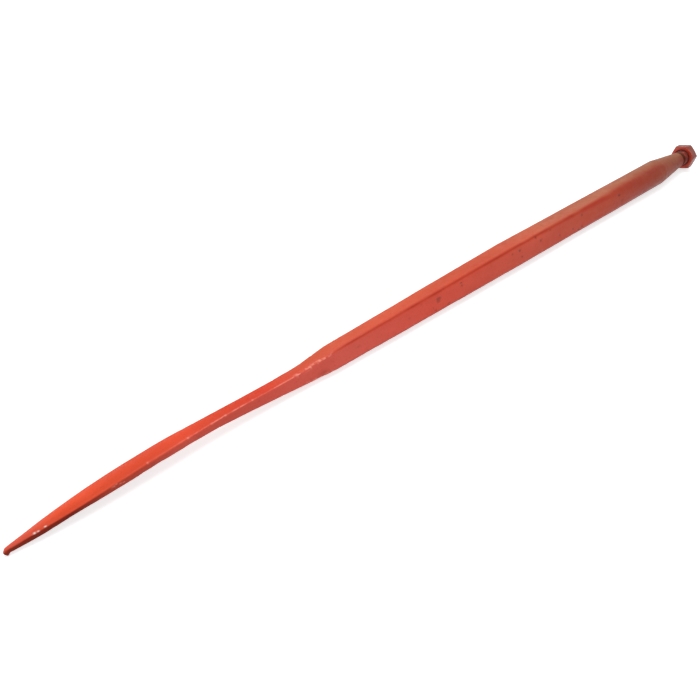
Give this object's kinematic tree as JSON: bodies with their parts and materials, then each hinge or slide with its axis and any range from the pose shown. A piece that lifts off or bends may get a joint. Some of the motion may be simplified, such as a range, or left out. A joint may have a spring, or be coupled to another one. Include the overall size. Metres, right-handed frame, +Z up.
{
  "type": "bale spear",
  "caption": "Forged bale spear with a flattened lance point, a square bar rounding into a cone shank, and a hex nut on its threaded end.",
  "frame": {"origin": "on the ground, under the middle of the length", "axes": "+X from the point towards the threaded end, +Z up, Y across; the spear lies as it rests, rolled 18 degrees onto a corner of its nut, with the hook of the point and the round ahead of the cone also on the ground"},
  "size_m": [1.321, 0.046, 0.0468],
  "materials": {
    "tine_paint": "thin orange-red paint over forged steel, dusty and slightly worn",
    "nut_paint": "darker orange-red paint, worn and dirty in the corners"
  },
  "bodies": {
    "root": {"tine": "tine_paint", "nut": "nut_paint"}
  },
  "joints": []
}
